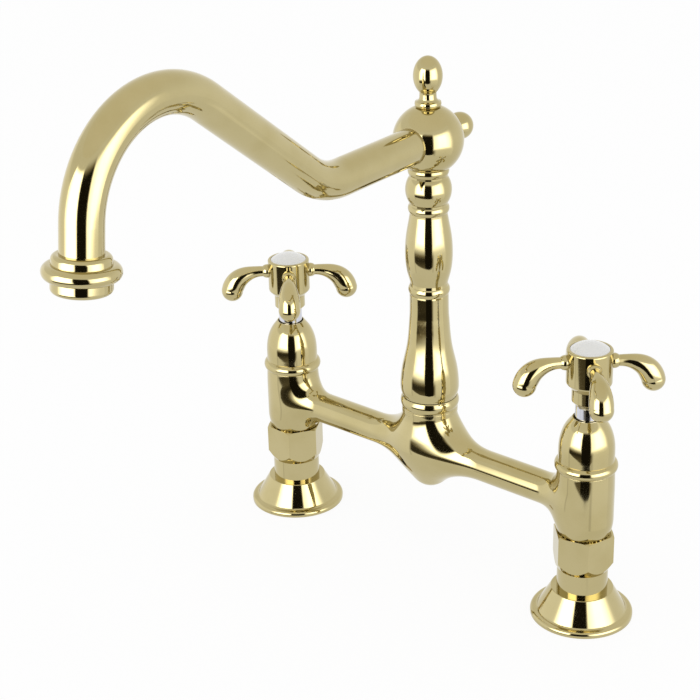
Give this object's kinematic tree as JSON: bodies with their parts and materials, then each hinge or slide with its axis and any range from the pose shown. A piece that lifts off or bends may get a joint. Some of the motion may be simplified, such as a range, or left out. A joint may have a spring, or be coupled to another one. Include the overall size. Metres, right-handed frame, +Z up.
{
  "type": "bridge kitchen faucet",
  "caption": "Deck-standing bridge tap in polished brass: cross handles with porcelain discs, turned legs joined by a bridge, and a swivelling arched spout on a baluster column.",
  "frame": {"origin": "midway between the two legs, on the plane of the worktop's top face", "axes": "+X runs along the bridge from the left leg to the right leg, -Y is the side the spout reaches over, +Z is up"},
  "size_m": [0.2626, 0.2956, 0.3855],
  "materials": {
    "polished_brass": "mirror polished",
    "raw_brass": "turned, unpolished",
    "plated_brass": "bright nickel plate",
    "porcelain": "glazed",
    "disc_ceramic": "lapped",
    "black_rubber": "matt",
    "white_plastic": "moulded",
    "zinc_steel": "zinc plated"
  },
  "bodies": {
    "bridge": {"bridge_body": "polished_brass", "swivel_nut": "polished_brass", "friction_washer": "white_plastic", "left_bonnet": "polished_brass", "left_cartridge_body": "plated_brass", "left_seat_seal": "black_rubber", "left_fixed_disc": "disc_ceramic", "left_union_nut": "polished_brass", "left_union_washer": "black_rubber", "left_shank": "raw_brass", "left_sleeve": "polished_brass", "left_flange": "polished_brass", "left_flange_gasket": "black_rubber", "left_deck_gasket": "black_rubber", "left_deck_washer": "zinc_steel", "left_locknut": "raw_brass", "right_bonnet": "polished_brass", "right_cartridge_body": "plated_brass", "right_seat_seal": "black_rubber", "right_fixed_disc": "disc_ceramic", "right_union_nut": "polished_brass", "right_union_washer": "black_rubber", "right_shank": "raw_brass", "right_sleeve": "polished_brass", "right_flange": "polished_brass", "right_flange_gasket": "black_rubber", "right_deck_gasket": "black_rubber", "right_deck_washer": "zinc_steel", "right_locknut": "raw_brass"},
    "spout": {"spigot": "raw_brass", "spigot_seal_1": "black_rubber", "spigot_seal_2": "black_rubber", "column": "polished_brass", "ball_head": "polished_brass", "finial": "polished_brass", "rear_plug": "polished_brass", "spout_tube": "polished_brass", "outlet_collar": "polished_brass", "aerator_shell": "polished_brass", "aerator_insert": "white_plastic", "aerator_seal": "black_rubber"},
    "left_handle_set": {"left_handle": "polished_brass", "left_handle_screw": "zinc_steel", "left_index_button": "porcelain", "left_stem": "raw_brass", "left_moving_disc": "disc_ceramic", "left_stem_seal": "black_rubber"},
    "right_handle_set": {"right_handle": "polished_brass", "right_handle_screw": "zinc_steel", "right_index_button": "porcelain", "right_stem": "raw_brass", "right_moving_disc": "disc_ceramic", "right_stem_seal": "black_rubber"}
  },
  "joints": [
    {"name": "spout_swivel", "type": "hinge", "parent": "bridge", "child": "spout", "pos_m": [0, 0, 0.0918], "axis": [0, 0, 1], "continuous": true},
    {"name": "left_handle_turn", "type": "hinge", "parent": "bridge", "child": "left_handle_set", "pos_m": [-0.1016, 0, 0.1232], "axis": [0, 0, 1], "range_deg": [0, 90]},
    {"name": "right_handle_turn", "type": "hinge", "parent": "bridge", "child": "right_handle_set", "pos_m": [0.1016, 0, 0.1232], "axis": [0, 0, 1], "range_deg": [-90, 0]}
  ]
}
